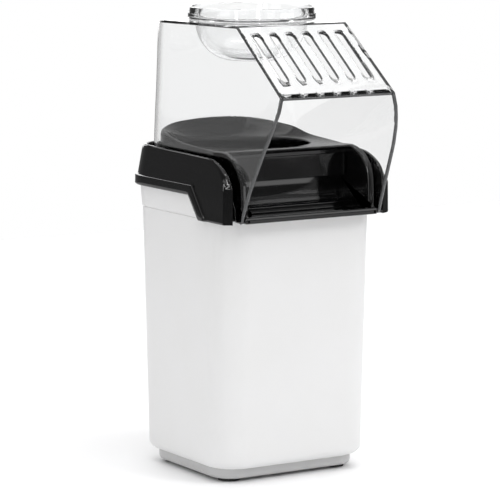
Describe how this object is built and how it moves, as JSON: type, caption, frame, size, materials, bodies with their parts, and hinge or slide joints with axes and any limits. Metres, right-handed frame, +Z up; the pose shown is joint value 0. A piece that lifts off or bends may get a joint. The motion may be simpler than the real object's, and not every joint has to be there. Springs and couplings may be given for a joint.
{
  "type": "popcorn maker",
  "caption": "Worktop hot-air popcorn maker: upright housing, glossy collar with outlet chute, clear vented hood and lift-out measuring cup.",
  "frame": {"origin": "middle of the whole box at table level, under the feet", "axes": "+Z up, the popcorn outlet faces -Y, X runs across the front"},
  "size_m": [0.11, 0.1404, 0.26],
  "materials": {
    "housing_white": "satin moulded ABS",
    "collar_black": "high gloss",
    "clear_cover": "clear, polished",
    "foot_rubber": "matt",
    "screw_steel": "zinc plated",
    "pot_aluminium": "spun, anodised",
    "shield_steel": "bright rolled",
    "silicone": "matt",
    "mica": "layered",
    "coil_wire": "oxidised",
    "thermostat_body": "plated",
    "fuse_body": "enamel",
    "duct_nylon": "moulded",
    "fan_nylon": "moulded",
    "motor_steel": "nickel plated",
    "shaft_steel": "ground",
    "bronze": "sintered",
    "motor_plastic": "moulded",
    "ferrite": "sintered",
    "winding": "enamelled copper",
    "board": "laminate",
    "diode_body": "moulded",
    "capacitor_body": "sleeved",
    "switch_black": "semi-gloss",
    "terminal_brass": "stamped",
    "clamp_white": "moulded",
    "lead_sleeve": "silicone sleeve"
  },
  "bodies": {
    "housing": {"body_housing": "housing_white", "base_plate": "housing_white", "feet": "foot_rubber", "base_screws": "screw_steel", "collar": "collar_black", "collar_screws": "screw_steel", "chute": "collar_black", "popping_chamber": "pot_aluminium", "chamber_gasket": "silicone", "heat_shield": "shield_steel", "shield_screws": "screw_steel", "mica_cards": "mica", "heating_coil": "coil_wire", "thermostat": "thermostat_body", "thermal_fuse": "fuse_body", "fan_housing": "duct_nylon", "motor_case": "motor_steel", "motor_bushing": "bronze", "motor_end_cap": "motor_plastic", "motor_mount": "duct_nylon", "motor_magnets": "ferrite", "motor_screws": "screw_steel", "duct_screws": "screw_steel", "rectifier_board": "board", "rectifier_diodes": "diode_body", "smoothing_capacitor": "capacitor_body", "switch_housing": "switch_black", "switch_terminals": "terminal_brass", "cord_gland": "foot_rubber", "cord_clamp": "clamp_white", "clamp_screws": "screw_steel", "terminal_block": "clamp_white", "inner_leads": "lead_sleeve"},
    "hood": {"hood": "clear_cover"},
    "cup": {"measuring_cup": "clear_cover"},
    "rotor": {"motor_shaft": "shaft_steel", "motor_armature": "winding", "impeller": "fan_nylon"},
    "rocker": {"switch_rocker": "switch_black"}
  },
  "joints": [
    {"name": "hood_lift", "type": "slide", "parent": "housing", "child": "hood", "axis": [0, 0, 1], "range_m": [0, 0.06]},
    {"name": "cup_lift", "type": "slide", "parent": "hood", "child": "cup", "axis": [0, 0, 1], "range_m": [0, 0.04]},
    {"name": "fan_spin", "type": "hinge", "parent": "housing", "child": "rotor", "pos_m": [0, 0.02125, 0.07], "axis": [0, 0, 1], "continuous": true},
    {"name": "switch_rock", "type": "hinge", "parent": "housing", "child": "rocker", "pos_m": [0.02, 0.06056, 0.04407], "axis": [-1, 0, 0], "range_deg": [0, 14]}
  ]
}
